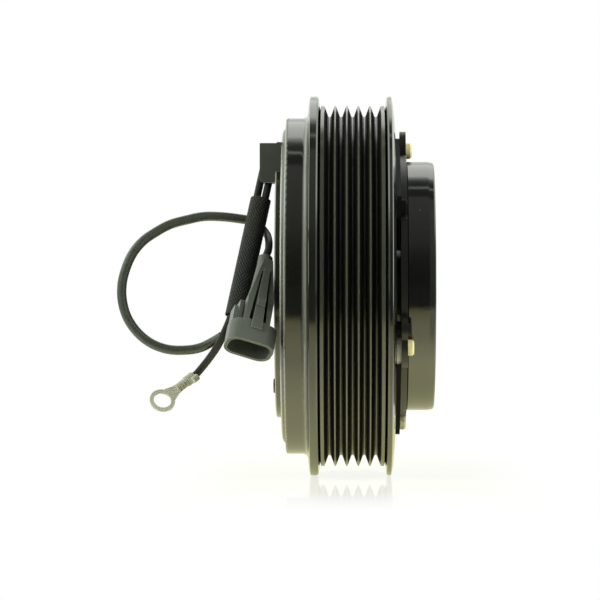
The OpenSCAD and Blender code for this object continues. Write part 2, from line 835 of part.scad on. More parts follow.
module connector_housing() {
    front = -connector_t / 2;
    half_w = frame_w / 2;
    bar_half_w = bar_w / 2;
    bar_top = bar_top_w / 2;
    color("#3b3f3d")
    connector_frame()
        difference() {
            union() {
                linear_extrude(shroud_len) rounded(connector_w, connector_t, shroud_corner_r);
                translate([0, 0, body_front_z])
                    cylinder(d1 = body_d, d2 = boss_d, h = body_rear_z - body_front_z);
                translate([0, 0, body_rear_z]) cylinder(d = boss_d, h = connector_len - body_rear_z);
                // Flat frame on the front, parted from the locking bar by a slot on each side
                difference() {
                    upright(front, front + frame_t)
                        polygon([[-half_w, body_front_z - over], [half_w, body_front_z - over],
                                 [half_w, frame_wide_z], [frame_top_w / 2, frame_top_z],
                                 [-frame_top_w / 2, frame_top_z], [-half_w, frame_wide_z]]);
                    upright(front - over, front + frame_t + over)
                        polygon([[-bar_half_w - bar_slot_w, bar_slot_low_z],
                                 [bar_half_w + bar_slot_w, bar_slot_low_z],
                                 [bar_top + bar_slot_w / 2, bar_high_z],
                                 [-bar_top - bar_slot_w / 2, bar_high_z]]);
                }
                upright(front - bar_proud, front + frame_t)
                    polygon([[-bar_half_w, bar_low_z], [bar_half_w, bar_low_z],
                             [bar_top, bar_high_z + over], [-bar_top, bar_high_z + over]]);
                translate([-bar_boss / 2, front - bar_proud - bar_boss_h, bar_boss_z])
                    cube([bar_boss, bar_boss_h + frame_t, bar_boss]);
                // Fins on the free side behind the shroud, each by its place and top
                for (fin = fins) {
                    translate([-fin[0] - fin_t / 2, front + fin_inset, body_front_z - over])
                        cube([fin_t, fin_depth, fin[1] - body_front_z + over]);
                }
            }
            translate([0, 0, -over])
                linear_extrude(shroud_depth + over)
                    rounded(connector_w - 2 * shroud_wall, connector_t - 2 * shroud_wall,
                            shroud_corner_r - shroud_wall);
            translate([-pocket_w / 2, -pocket_t / 2, shroud_depth - over])
                cube([pocket_w, pocket_t, pocket_depth - shroud_depth + over]);
            translate([0, 0, terminal_cavity_end])
                cylinder(r = boss_bore_r, h = connector_len - terminal_cavity_end + over);
            translate([-blade_w / 2 - blade_clear, -blade_t / 2 - blade_clear, pocket_depth - over])
                cube([blade_w + 2 * blade_clear, blade_t + 2 * blade_clear,
                      terminal_cavity_end - pocket_depth + 2 * over]);
        }
}

module connector_blade() {
    crimp_r = boss_bore_r - blade_crimp_gap;
    lead_end_z = connector_len - norm(tail_route[len(tail_route) - 1] - connector_rear);
    color("#c2bfae")
    connector_frame() {
        translate([-blade_w / 2, -blade_t / 2, blade_recess])
            cube([blade_w, blade_t, terminal_cavity_end - blade_recess + over]);
        translate([0, 0, terminal_cavity_end])
            cylinder(r = crimp_r, h = lead_end_z - terminal_cavity_end - lead_clear);
    }
}

module wire_seal() {
    color("#7d4a3a")
    connector_frame()
        translate([0, 0, connector_len - seal_len])
            difference() {
                cylinder(r = boss_bore_r - blade_clear, h = seal_len - seal_sunk);
                translate([0, 0, -over]) cylinder(d = lead_d + 2 * lead_clear, h = seal_len + over);
            }
}

// Bearing

// Round of a race, drawn as radius and Y, for the rows of balls
module races(centre_r) {
    for (y = [-1, 1]) {
        translate([centre_r, y * row_gap / 2]) circle(race_r);
    }
}

module bearing_inner_ring() {
    color("#8f9194")
    revolved() {
        difference() {
            band(bearing_bore_r, inner_shoulder_r, -bearing_half_w, bearing_half_w);
            races(ball_pitch_r - ball_r - ball_clear + race_r);
        }
    }
}

module bearing_outer_ring() {
    color("#8f9194")
    revolved() {
        difference() {
            band(outer_shoulder_r, bearing_r, -bearing_half_w, bearing_half_w);
            races(ball_pitch_r + ball_r + ball_clear - race_r);
            for (y = [-1, 1]) {
                translate([seal_seat_r - seal_cut_w / 2, y * bearing_half_w])
                    square([seal_cut_w, 2 * (seal_t + seal_inset)], center = true);
            }
        }
    }
}

module bearing_balls() {
    color("#c9cbcd")
    for (y = [-1, 1], i = [0 : ball_count - 1]) {
        around_axis(i * 360 / ball_count, ball_pitch_r) translate([0, y * row_gap / 2, 0]) sphere(ball_r);
    }
}

module bearing_cages() {
    color("#6b4a2a")
    for (side = [0, 1]) {
        mirror([0, side, 0])
            difference() {
                revolved()
                    band(ball_pitch_r - cage_t / 2, ball_pitch_r + cage_t / 2, cage_inner_y, cage_outer_y);
                for (i = [0 : ball_count - 1]) {
                    around_axis(i * 360 / ball_count, ball_pitch_r)
                        translate([0, row_gap / 2, 0])
                            rotate([0, 90, 0])
                                cylinder(r = ball_r + pocket_clear, h = cage_t + 2 * over, center = true);
                }
            }
    }
}

module bearing_seals() {
    color("#2d2a28")
    for (side = [0, 1]) {
        mirror([0, side, 0])
            revolved()
                band(inner_shoulder_r + seal_lip_gap, seal_seat_r,
                     bearing_half_w - seal_inset - seal_t, bearing_half_w - seal_inset);
    }
}

module bearing_circlip() {
    rear = -bearing_half_w - circlip_t + circlip_clear;
    front = -bearing_half_w;
    ring_r = circlip_groove_r - circlip_clear;
    lug_place = ring_r - circlip_w;
    color("#4a4d50")
    sheet(rear, front) {
        difference() {
            union() {
                difference() {
                    circle(ring_r);
                    circle(ring_r - circlip_w);
                    rotate(90)
                        polygon([[0, 0], [2 * ring_r, -2 * ring_r * tan(circlip_gap_angle / 2)],
                                 [2 * ring_r, 2 * ring_r * tan(circlip_gap_angle / 2)]]);
                }
                for (x = [-1, 1]) {
                    around(-90 + x * circlip_lug_angle, lug_place) circle(circlip_lug_r);
                }
            }
            for (x = [-1, 1]) {
                around(-90 + x * circlip_lug_angle, lug_place) circle(circlip_hole_r);
            }
        }
    }
}

// Pulley

module groove_cut(y) {
    reach = (rib_tip_r + over - flank_foot_r) * tan(groove_half_angle);
    translate([0, y]) {
        translate([groove_centre_r, 0]) circle(groove_root_r);
        polygon([[flank_foot_r, -flank_foot_y], [rib_tip_r + over, -flank_foot_y - reach],
                 [rib_tip_r + over, flank_foot_y + reach], [flank_foot_r, flank_foot_y]]);
    }
}

// Outline turned over to the rear, with its points in the other order
function to_rear(points) = [for (i = [len(points) - 1 : -1 : 0]) [points[i][0], -points[i][1]]];

// Outline of a flange, drawn as radius and Y for the front
function flange_outline(face_y, taper, dish_h) =
    let (break_y = flange_inner_y - tip_break * flange_draft / (flange_r - relief_r))
    concat(
        [[rim_bore_r, relief_y - over], [relief_r, relief_y - over], [relief_r, relief_y],
         [flange_r - tip_break, break_y], [flange_r, flange_inner_y + tip_break]],
        [for (share = dish_shares) [flange_r - share[0] * dish_h, face_y - share[1] * taper]],
        [[rim_bore_r + edge_chamfer, face_y], [rim_bore_r, face_y - edge_chamfer]]
    );

// Outline of the relief beside a flange, drawn for the front
relief_outline = [[relief_r, relief_y], [rib_tip_r + over, ridge_edge_y],
                  [rib_tip_r + over, relief_y + flange_draft * relief_lean]];

module rotor_section() {
    difference() {
        union() {
            band(rim_bore_r, rib_tip_r, -relief_y, relief_y);
            polygon(flange_outline(rim_front_y, front_taper, front_dish_h));
            polygon(to_rear(flange_outline(-rim_rear_y, rear_taper, rear_dish_h)));
            // Rear skirt with its fillet and rounded edge
            polygon([[rim_bore_r, skirt_rear_y + edge_chamfer], [rim_bore_r + edge_chamfer, skirt_rear_y],
                     [skirt_r - skirt_round, skirt_rear_y],
                     [skirt_r - skirt_round, skirt_rear_y + skirt_round],
                     [skirt_r, skirt_rear_y + skirt_round], [skirt_r, -relief_y], [rim_bore_r, -relief_y]]);
            translate([skirt_r - skirt_round, skirt_rear_y + skirt_round]) circle(skirt_round);
            difference() {
                band(skirt_r, skirt_r + skirt_fillet, rim_rear_y - skirt_fillet, rim_rear_y + over);
                translate([skirt_r + skirt_fillet, rim_rear_y - skirt_fillet]) circle(skirt_fillet);
            }
            // Friction web and bearing seat
            band(seat_r - over, rim_bore_r + over, web_rear_y, web_front_y);
            band(bearing_r, seat_r, seat_rear_y, seat_front_y);
            band(lip_r, seat_r, bearing_half_w, seat_front_y);
        }
        for (i = [0 : groove_count - 1]) {
            groove_cut((i - (groove_count - 1) / 2) * groove_pitch);
        }
        polygon(relief_outline);
        polygon(to_rear(relief_outline));
        band(bearing_r - over, circlip_groove_r, -bearing_half_w - circlip_t, -bearing_half_w);
    }
}

module rotor_pulley() {
    // Two rows of slots part the friction face into three rings
    slot_span = 360 / web_slots - web_bridge;
    color("#17191a")
    difference() {
        revolved() rotor_section();
        for (row = [0, 1], i = [0 : web_slots - 1]) {
            arc_slot(seat_r + web_row_places[row] * (rim_bore_r - seat_r), web_slot_w, web_rear_y - over,
                     web_front_y + over, i * 360 / web_slots + row * 180 / web_slots, slot_span);
        }
    }
}

// Hub and armature

module hub_plate() {
    color("#1b1c1d")
    sheet(hub_plate_rear_y, hub_plate_front_y) {
        difference() {
            union() {
                circle(hub_plate_r);
                for (i = [0 : spring_count - 1]) {
                    around(hub_angle(i), rivet_circle_r) circle(lobe_r);
                    around(hub_angle(i) + stop_angle, stop_circle_r) circle(stop_lobe_r);
                }
            }
            circle(hub_plate_bore_r);
            for (i = [0 : spring_count - 1]) {
                around(hub_angle(i), rivet_circle_r) circle(rivet_r + rivet_clear);
                around(hub_angle(i) + stop_angle, stop_circle_r) circle(stop_stem_r + rivet_clear);
                around(tail_angle(i), rivet_circle_r) circle(rivet_head_r + scallop_gap);
            }
        }
    }
}

module damper_drum() {
    band_rear_y = drum_front_y - drum_band_w;
    color("#17191a")
    revolved() {
        polygon([[drum_flange_r, hub_plate_front_y], [drum_r - drum_edge, hub_plate_front_y],
                 [drum_r, hub_plate_front_y + drum_edge], [drum_r, band_rear_y],
                 [drum_r - drum_band_drop, drum_front_y - drum_edge],
                 [drum_r - drum_band_drop - drum_edge, drum_front_y],
                 [drum_inner_r + drum_edge, drum_front_y],
                 [drum_inner_r, drum_front_y - drum_edge], [drum_inner_r, rubber_rear_y],
                 [drum_flange_r, rubber_rear_y]]);
    }
}

module damper_rubber() {
    middle_r = (inner_hub_r + drum_inner_r) / 2;
    dish_half_w = min(rubber_dish_half_w, (drum_inner_r - inner_hub_r) / 2 - rubber_dish_slope);
    color("#1f2020")
    revolved() {
        difference() {
            band(inner_hub_r, drum_inner_r, rubber_rear_y, rubber_front_y);
            translate([middle_r, rubber_front_y])
                polygon([[-dish_half_w, 0], [-dish_half_w + rubber_dish_slope, -rubber_dish],
                         [dish_half_w - rubber_dish_slope, -rubber_dish], [dish_half_w, 0],
                         [dish_half_w, over], [-dish_half_w, over]]);
        }
    }
}

module inner_hub() {
    color("#55585a")
    difference() {
        revolved() {
            difference() {
                union() {
                    band(shaft_bore_r, sleeve_boss_r, sleeve_boss_rear_y, hub_disc_front_y);
                    band(shaft_bore_r, inner_hub_r, hub_disc_rear_y, hub_disc_front_y);
                }
                band(hub_groove_inner_r, hub_groove_outer_r, hub_disc_front_y - hub_groove_depth,
                     hub_disc_front_y + over);
                band(0, nut_recess_r, hub_disc_front_y - nut_recess_depth, hub_disc_front_y + over);
            }
        }
        translate([-keyway_w / 2, sleeve_boss_rear_y - over, 0])
            cube([keyway_w, hub_disc_front_y - sleeve_boss_rear_y + 2 * over, shaft_bore_r + keyway_h]);
    }
}

// Chamfered head of a rivet, with its seat at the given Y
module rivet_head(seat_y) {
    translate([0, seat_y, 0])
        along_axis()
            rotate_extrude()
                polygon([[0, 0], [rivet_head_r, 0], [rivet_head_r, rivet_head_h - rivet_edge],
                         [rivet_head_r - rivet_edge, rivet_head_h], [0, rivet_head_h]]);
}

module hub_rivets() {
    color("#c9b96a")
    for (i = [0 : spring_count - 1]) {
        around_axis(hub_angle(i), rivet_circle_r) {
            bar(rivet_r, spring_rear_y - tail_h, hub_plate_front_y + rivet_head_h);
            bar(tail_r, spring_rear_y - tail_h, spring_rear_y);
            rivet_head(hub_plate_front_y);
        }
    }
}

module rubber_stops() {
    color("#151515")
    for (i = [0 : spring_count - 1]) {
        around_axis(hub_angle(i) + stop_angle, stop_circle_r) {
            bar(stop_r, armature_front_y + stop_touch, hub_plate_rear_y);
            bar(stop_stem_r, hub_plate_rear_y - over, hub_plate_front_y + over);
            bar(stop_r, hub_plate_front_y, hub_plate_front_y + stop_button_h);
        }
    }
}

module leaf_springs() {
    color("#b4b6b3")
    for (i = [0 : spring_count - 1], leaf = [0 : leaf_count - 1]) {
        sheet(spring_rear_y + leaf * leaf_t, spring_rear_y + (leaf + 1) * leaf_t) {
            around(hub_angle(i) - spring_half_span, spring_mid_r) {
                difference() {
                    union() {
                        square([leaf_w, 2 * spring_half_len], center = true);
                        for (end = [-1, 1]) {
                            translate([0, end * spring_half_len]) circle(d = leaf_w);
                        }
                    }
                    for (end = [-1, 1]) {
                        translate([0, end * spring_half_len]) circle(rivet_r + rivet_clear);
                    }
                }
            }
        }
    }
}

module armature_disc() {
    color("#4b4d4e")
    difference() {
        union() {
            revolved() band(armature_bore_r, armature_r, armature_rear_y, armature_front_y);
            for (i = [0 : spring_count - 1]) {
                around_axis(tail_angle(i), rivet_circle_r)
                    bar(spring_seat_r, armature_front_y - over, spring_rear_y);
            }
        }
        for (i = [0 : spring_count - 1]) {
            around_axis(hub_angle(i), rivet_circle_r)
                bar(tail_r + tail_room, armature_rear_y - over, armature_front_y + over);
            around_axis(tail_angle(i), rivet_circle_r) {
                bar(rivet_r + rivet_clear, armature_rear_y - over, spring_rear_y + over);
                translate([0, armature_rear_y, 0])
                    along_axis()
                        cylinder(r1 = countersink_r + rivet_clear, r2 = rivet_r + rivet_clear,
                                 h = countersink_h);
            }
            arc_slot(armature_slot_r, armature_slot_w, armature_rear_y - over, armature_front_y + over,
                     hub_angle(i) + slot_margin, spring_step - 2 * slot_margin);
        }
    }
}

module armature_rivets() {
    color("#a99c63")
    for (i = [0 : spring_count - 1]) {
        around_axis(tail_angle(i), rivet_circle_r) {
            bar(rivet_r, armature_rear_y + rivet_recess, hub_plate_rear_y + over);
            rivet_head(hub_plate_rear_y);
            translate([0, armature_rear_y + rivet_recess, 0])
                along_axis()
                    cylinder(r1 = countersink_r - rivet_recess, r2 = rivet_r,
                             h = countersink_h - rivet_recess);
        }
    }
}

coil_shell();
coil_bobbin();
coil_winding();
coil_potting();
mounting_plate();
locating_pin();
lead_block();
ground_lead();
feed_lead();
loop_tubing();
lead_sleeve();
ring_terminal();
connector_housing();
connector_blade();
wire_seal();
bearing_inner_ring();
bearing_outer_ring();
bearing_balls();
bearing_cages();
bearing_seals();
bearing_circlip();
rotor_pulley();
hub_plate();
damper_drum();
damper_rubber();
inner_hub();
hub_rivets();
rubber_stops();
leaf_springs();
armature_disc();
armature_rivets();
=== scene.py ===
import math

import bmesh
import bpy
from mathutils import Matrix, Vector


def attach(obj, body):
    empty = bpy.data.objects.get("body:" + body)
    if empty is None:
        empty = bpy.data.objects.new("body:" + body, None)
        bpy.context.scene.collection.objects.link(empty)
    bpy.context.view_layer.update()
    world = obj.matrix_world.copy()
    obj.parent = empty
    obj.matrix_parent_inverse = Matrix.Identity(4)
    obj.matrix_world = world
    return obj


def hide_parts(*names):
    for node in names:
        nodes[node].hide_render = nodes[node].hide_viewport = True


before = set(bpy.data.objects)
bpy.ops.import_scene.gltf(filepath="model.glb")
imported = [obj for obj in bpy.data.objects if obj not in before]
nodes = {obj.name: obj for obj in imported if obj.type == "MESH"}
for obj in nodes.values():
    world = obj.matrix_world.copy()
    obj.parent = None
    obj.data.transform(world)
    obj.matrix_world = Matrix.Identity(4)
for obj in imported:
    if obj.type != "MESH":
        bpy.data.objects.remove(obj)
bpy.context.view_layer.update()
scene = bpy.context.scene
print("frame loaded with", len(nodes), "pieces")


def linear(hexColour):
    parts = [int(hexColour[i:i + 2], 16) / 255 for i in (1, 3, 5)]
    return tuple(p / 12.92 if p <= 0.04045 else ((p + 0.055) / 1.055) ** 2.4 for p in parts) + (1.0,)


def addNode(tree, kind, inputs=None, **settings):
    node = tree.nodes.new(kind)
    for key, value in settings.items():
        setattr(node, key, value)
    for key, value in (inputs or {}).items():
        if isinstance(value, bpy.types.NodeSocket):
            tree.links.new(value, node.inputs[key])
        else:
            node.inputs[key].default_value = value
    return node


def perMm(size):
    return 1000 / size  # pattern scale for a repeat of this many millimetres


def startMaterial(name):
    material = bpy.data.materials.new(name)
    material.use_nodes = True
    tree = material.node_tree
    shader = tree.nodes["Principled BSDF"]
    place = addNode(tree, "ShaderNodeTexCoord").outputs["Object"]
    return material, tree, shader, place


# Camera

cameraSet = {
    "distance": 1.030,       # from the clutch's axis, square on to its side
    "side": -0.00081,
    "width": 0.18624,        # what the picture takes in at the axis
    "sensor": 36,
    "shiftX": -50 / 600,     # the axis sits right of the middle and a little above it
    "shiftY": -14 / 600,
    "near": 0.01,
    "far": 20,
}

lens = bpy.data.cameras.new("productCamera")
lens.sensor_width = cameraSet["sensor"]
lens.lens = cameraSet["sensor"] * cameraSet["distance"] / cameraSet["width"]
lens.shift_x = cameraSet["shiftX"]
lens.shift_y = cameraSet["shiftY"]
lens.clip_start = cameraSet["near"]
lens.clip_end = cameraSet["far"]
camera = bpy.data.objects.new("productCamera", lens)
camera.location = (cameraSet["distance"], cameraSet["side"], 0)
camera.rotation_euler = (math.radians(90), 0, math.radians(90))
scene.collection.objects.link(camera)
scene.camera = camera
print("camera placed")


# Leads: routes in millimetres, as the CAD has them, with Y counted from the mounting plate's rear face

leadSet = {
    "plateRear": -23.508,
    "leadDiameter": 2.3,
    "tubingDiameter": 2.9,
    "steps": 8,              # line points for each span of a route
    "roundness": 6,          # gives a lead 16 sides
    "ground": [
        (14.8, -3.8, 35.9), (16.7, -5, 30.3), (20.4, -7.3, 19.2), (24.2, -9.6, 8),
        (27.9, -11.9, -3.1), (29.8, -13.1, -8.7), (30.6, -14, -11.4), (30.9, -14.9, -13.5),
        (30.4, -16.1, -16.1), (28.6, -17.7, -18.9), (26, -19.8, -21.8), (23.9, -21.9, -24.4),
        (22.6, -23.9, -26.7), (23.5, -25, -27.5), (24.8, -26.4, -28.7),
    ],
    "feed": [
        (15.3, -1.5, 34.5), (16.8, -2.5, 29.9), (20.6, -4.8, 18.7), (24.3, -7.1, 7.6),
        (28.1, -9.4, -3.6), (29.9, -10.6, -9.1), (29.3, -12, -11.7), (28, -13.9, -13.6),
        (26.8, -16.1, -15.2),
    ],
    "loop": [
        (26.8, -16.1, -15.2), (25.8, -18.9, -16.9), (25.3, -22.7, -18.7), (25.2, -27, -19.4),
        (25.2, -32.3, -19.2), (25.2, -37.4, -17.4), (25.3, -41.6, -14.1), (25.5, -44.7, -9.6),
        (25.5, -46.2, -4.5), (25.4, -46.3, 0.6), (25.2, -45.1, 5.5), (24.6, -43.1, 9.9),
        (23.6, -40.1, 13.6), (22.4, -36.2, 16.4), (21, -32, 18.7), (19.6, -27.2, 20.1),
        (18, -21.8, 21.2), (16.4, -15.6, 21.1), (15.1, -9.9, 20.4), (15.2, -7.1, 19.9),
    ],
    "tail": [
        (15.2, -7.1, 19.9), (15.5, -5.1, 18.6), (16.6, -3.6, 17.1), (19, -2.5, 15.5),
        (23, -2, 14), (27, -1.8, 12.6), (30, -1.9, 10.8), (32, -2.7, 8.4), (35.3, -3.5, 3.4),
    ],
}


def behindPlate(place):
    return Vector((place[0], place[1] + leadSet["plateRear"], place[2])) / 1000


def smoothLine(route):
    points = [behindPlate(p) for p in route]
    last = len(points) - 1
    line = []
    for i in range(last):
        a, b, c, d = points[max(i - 1, 0)], points[i], points[i + 1], points[min(i + 2, last)]
        for step in range(leadSet["steps"]):
            t = step / leadSet["steps"]
            line.append(0.5 * (2 * b + (c - a) * t + (2 * a - 5 * b + 4 * c - d) * t * t
                               + (3 * b - a - 3 * c + d) * t ** 3))
    return line + [points[last]]


def lineLength(line):
    return sum((b - a).length for a, b in zip(line, line[1:]))


def fitPiece(name, data, node):
    piece = bpy.data.objects.new(name, data)
    scene.collection.objects.link(piece)
    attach(piece, "field_coil")
    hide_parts(node)
    return piece


def leadCurve(name, line, diameter, node):
    data = bpy.data.curves.new(name, "CURVE")
    data.dimensions = "3D"
    data.bevel_depth = 1.0   # each point's own radius sets the thickness, so that the curve's box is right
    data.bevel_resolution = leadSet["roundness"]
    data.use_fill_caps = True
    spline = data.splines.new("POLY")
    spline.points.add(len(line) - 1)
    for point, place in zip(spline.points, line):
        point.co = (*place, 1)
        point.radius = diameter / 2000
    spline.use_smooth = True
    return fitPiece(name, data, node)


# the feed lead runs on inside its tubing, through the loop and out again to the connector
groundLine = smoothLine(leadSet["ground"])
feedLine = smoothLine(leadSet["feed"] + leadSet["loop"][1:] + leadSet["tail"][1:])
loopLine = smoothLine(leadSet["loop"])
groundLead = leadCurve("groundLead", groundLine, leadSet["leadDiameter"], "ground_lead")
feedLead = leadCurve("feedLead", feedLine, leadSet["leadDiameter"], "feed_lead")
loopTubing = leadCurve("loopTubing", loopLine, leadSet["tubingDiameter"], "loop_tubing")
print("leads run", round(lineLength(groundLine), 4), "and", round(lineLength(feedLine), 4), "m")


# Braided sleeve over both leads: flat strands wound both ways, each over one and under one

sleeveSet = {
    "top": (18, -4.5, 26.4),
    "bottom": (30, -11.9, -9.2),
    "radius": 2.95,          # middle of the braid's thickness
    "lining": 2.7,           # the dark inside that shows between strands
    "liningSides": 32,
    "liningEnds": (0.004, 0.996),  # shares of the sleeve's length
    "strands": 20,           # each way
    "lay": 26,               # length of one turn of a strand
    "strandWidth": 0.74,
    "strandThickness": 0.2,
    "weave": 0.12,           # how far a strand rises over the next
    "steps": 200,
    "profile": [(-1, -0.5), (-0.55, 0.5), (0.55, 0.5), (1, -0.5)],
}


def makeSleeve():
    s = sleeveSet
    start = behindPlate(s["top"])
    end = behindPlate(s["bottom"])
    length = (end - start).length
    along = (end - start).normalized()
    side = along.cross(Vector((0, 1, 0))).normalized()
    up = along.cross(side)
    rate = 2 * math.pi / (s["lay"] / 1000)
    slope = math.atan(rate * s["radius"] / 1000)
    half = s["strandWidth"] / 2000
    corners = len(s["profile"])
    mesh = bmesh.new()

    def onSleeve(angle, reach, radius):
        outward = math.cos(angle) * side + math.sin(angle) * up
        return mesh.verts.new(start + along * min(max(reach, 0), length) + radius * outward)

    for turn in (1, -1):
        for k in range(s["strands"]):
            rows = []
            for i in range(s["steps"] + 1):
                reach = length * i / s["steps"]
                angle = 2 * math.pi * k / s["strands"] + turn * rate * reach
                lift = turn * s["weave"] * math.cos(s["strands"] * rate * reach)
                row = []
                for across, out in s["profile"]:
                    # the strand's width lies square to its own run round the sleeve
                    shift = across * half
                    turned = angle + shift * math.cos(slope) / (s["radius"] / 1000)
                    further = reach - turn * shift * math.sin(slope)
                    radius = (s["radius"] + lift + out * s["strandThickness"]) / 1000
                    row.append(onSleeve(turned, further, radius))
                rows.append(row)
            for a, b in zip(rows, rows[1:]):
                for j in range(corners):
                    face = [a[j], a[(j + 1) % corners], b[(j + 1) % corners], b[j]]
                    mesh.faces.new(face).smooth = True
            mesh.faces.new(rows[0][::-1])
            mesh.faces.new(rows[-1])
    sides = s["liningSides"]
    rings = [[onSleeve(2 * math.pi * k / sides, length * share, s["lining"] / 1000) for k in range(sides)]
             for share in s["liningEnds"]]
    for k in range(sides):
        beside = (k + 1) % sides
        face = mesh.faces.new([rings[0][k], rings[0][beside], rings[1][beside], rings[1][k]])
        face.smooth = True
        face.material_index = 1
    bmesh.ops.recalc_face_normals(mesh, faces=mesh.faces)
    data = bpy.data.meshes.new("leadSleeve")
    mesh.to_mesh(data)
    mesh.free()
    return fitPiece("leadSleeve", data, "lead_sleeve")


leadSleeve = makeSleeve()
print("sleeve braided")


# Materials: sizes and depths in millimetres

noiseSpan = (0.3, 0.7)       # most of a noise pattern's values lie between these
edgeSamples = 6


def mottled(tree, place, dark, light, sizeMm, detail):
    # clouds of this size, and a colour that goes with them from dark to light
    clouds = addNode(tree, "ShaderNodeTexNoise",
                     {"Vector": place, "Scale": perMm(sizeMm), "Detail": detail}).outputs["Fac"]
    colour = addNode(tree, "ShaderNodeMix", {0: clouds, 6: linear(dark), 7: linear(light)},
                     data_type="RGBA")
    return clouds, colour.outputs[2]


def paleEdgesWearAndHighlight(tree, colour, wearAndHighlight, paler):
    # the colour gives way to a paler one where the surface turns sharply within a small radius: partly
    # wear, partly a painted edge highlight
    rounded = addNode(tree, "ShaderNodeBevel", {"Radius": wearAndHighlight["radius"] / 1000}, samples=edgeSamples)
    faced = addNode(tree, "ShaderNodeNewGeometry").outputs["Normal"]
    turn = addNode(tree, "ShaderNodeVectorMath", {0: rounded.outputs[0], 1: faced}, operation="DOT_PRODUCT")
    masked = addNode(tree, "ShaderNodeMapRange",
                     {"Value": turn.outputs["Value"], "From Min": 1 - wearAndHighlight["low"],
                      "From Max": 1 - wearAndHighlight["high"], "To Min": 0.0, "To Max": 1.0})
    return addNode(tree, "ShaderNodeMix", {0: masked.outputs[0], 6: colour, 7: linear(paler)},
                   data_type="RGBA").outputs[2]


def axisPlace(tree, place):
    # distance from the clutch's axis and place along it
    inMm = addNode(tree, "ShaderNodeVectorMath", {0: place, 3: 1000.0}, operation="SCALE").outputs[0]
    depth = addNode(tree, "ShaderNodeSeparateXYZ", {0: inMm}).outputs["Y"]
    flat = addNode(tree, "ShaderNodeVectorMath", {0: inMm, 1: (1, 0, 1)}, operation="MULTIPLY").outputs[0]
    radius = addNode(tree, "ShaderNodeVectorMath", {0: flat}, operation="LENGTH").outputs["Value"]
    return radius, depth


def paintHighlightRings(tree, place, colour, rings):
    # painted highlights: soft pale rings about the axis, each at its radius and depth
    radius, depth = axisPlace(tree, place)
    section = addNode(tree, "ShaderNodeCombineXYZ", {"X": radius, "Y": depth}).outputs[0]
    for ring in rings:
        away = addNode(tree, "ShaderNodeVectorMath", {0: section, 1: (ring["radius"], ring["y"], 0)},
                       operation="DISTANCE").outputs["Value"]
        pale = addNode(tree, "ShaderNodeMapRange",
                       {"Value": away, "From Min": 0.0, "From Max": ring["reach"],
                        "To Min": 1.0, "To Max": 0.0}, interpolation_type="SMOOTHSTEP")
        colour = addNode(tree, "ShaderNodeMix", {0: pale.outputs[0], 6: colour, 7: linear(ring["colour"])},
                         data_type="RGBA").outputs[2]
    return colour


def finishSurface(tree, shader, colour, marks, roughness, relief, look):
    # the colour, a roughness that varies with the marks, and relief
    tree.links.new(colour, shader.inputs["Base Color"])
    shine = addNode(tree, "ShaderNodeMapRange",
                    {"Value": marks, "From Min": noiseSpan[0], "From Max": noiseSpan[1],
                     "To Min": roughness + look["spread"][0], "To Max": roughness + look["spread"][1]})
    tree.links.new(shine.outputs[0], shader.inputs["Roughness"])
    bump = addNode(tree, "ShaderNodeBump",
                   {"Height": relief, "Strength": look["relief"], "Distance": look["depth"] / 1000})
    tree.links.new(bump.outputs[0], shader.inputs["Normal"])


enamelSet = {
    "smear": 14,
    "smearColour": "#15160f",
    "haze": 0.06,                 # what a smear adds to the roughness
    "hazeLevels": (0.3, 0.75),
    "dustSpacing": 2.6,
    "dustGrain": (0.05, 0.09),    # share of the spacing: grains of 0.1 mm, drawn at 0.35 mm to show
    "dustPatch": 9,
    "dustLevels": (0.56, 0.66),
    "dustShare": 0.7,
    "dustColour": "#77786f",
    "orangePeel": 1.6,
    "depth": 0.05,
    "wearAndHighlight": {"radius": 0.35, "low": 0.02, "high": 0.25},
    "ior": 1.8,
}
# painted highlights, with some belt wear, as paler glossy rings on the rib tips and groove bottoms; painted
# shade on the groove sides, darker and matt with their shine cut
beltHalf = 9.9                    # half the width of the grooved face
beltGlintAndShadeBands = [
    {"radius": 55.8, "reach": 0.4, "colour": "#44453a", "roughness": 0.2},
    {"radius": 54.2, "reach": 1.2, "colour": "#111210", "roughness": 0.75, "shine": "#242424"},
    {"radius": 52.6, "reach": 0.4, "colour": "#1e1f1b", "roughness": 0.25},
]
# painted highlights: a pale ring in the corner behind the rear flange and a paler one round the skirt's
# rear edge
skirtHighlightRings = [
    {"radius": 52.8, "y": -14.0, "reach": 1.3, "colour": "#66675c"},
    {"radius": 51.6, "y": -20.35, "reach": 0.6, "colour": "#7b7c71"},
]


def paintBeltGlintAndShade(tree, shader, place, paint, haze):
    # rings of the grooved face, each with its own colour, roughness and shine: painted highlights and
    # painted shade
    radius, depth = axisPlace(tree, place)
    aside = addNode(tree, "ShaderNodeMath", {0: depth}, operation="ABSOLUTE")
    belted = addNode(tree, "ShaderNodeMath", {0: aside.outputs[0], 1: beltHalf}, operation="LESS_THAN")
    for band in beltGlintAndShadeBands:
        level = addNode(tree, "ShaderNodeMath", {0: radius, 1: band["radius"], 2: band["reach"]},
                        operation="COMPARE")
        masked = addNode(tree, "ShaderNodeMath", {0: level.outputs[0], 1: belted.outputs[0]},
                         operation="MULTIPLY").outputs[0]
        paint = addNode(tree, "ShaderNodeMix", {0: masked, 6: paint, 7: linear(band["colour"])},
                        data_type="RGBA").outputs[2]
        haze = addNode(tree, "ShaderNodeMix", {0: masked, 2: haze, 3: band["roughness"]}).outputs[0]
        # the groove sides' shine is dimmed as painted shade
        if "shine" in band:
            grooveShade = addNode(tree, "ShaderNodeMix", {0: masked, 6: (1, 1, 1, 1), 7: linear(band["shine"])},
                           data_type="RGBA")
            tree.links.new(grooveShade.outputs[2], shader.inputs["Specular Tint"])
    return paint, haze


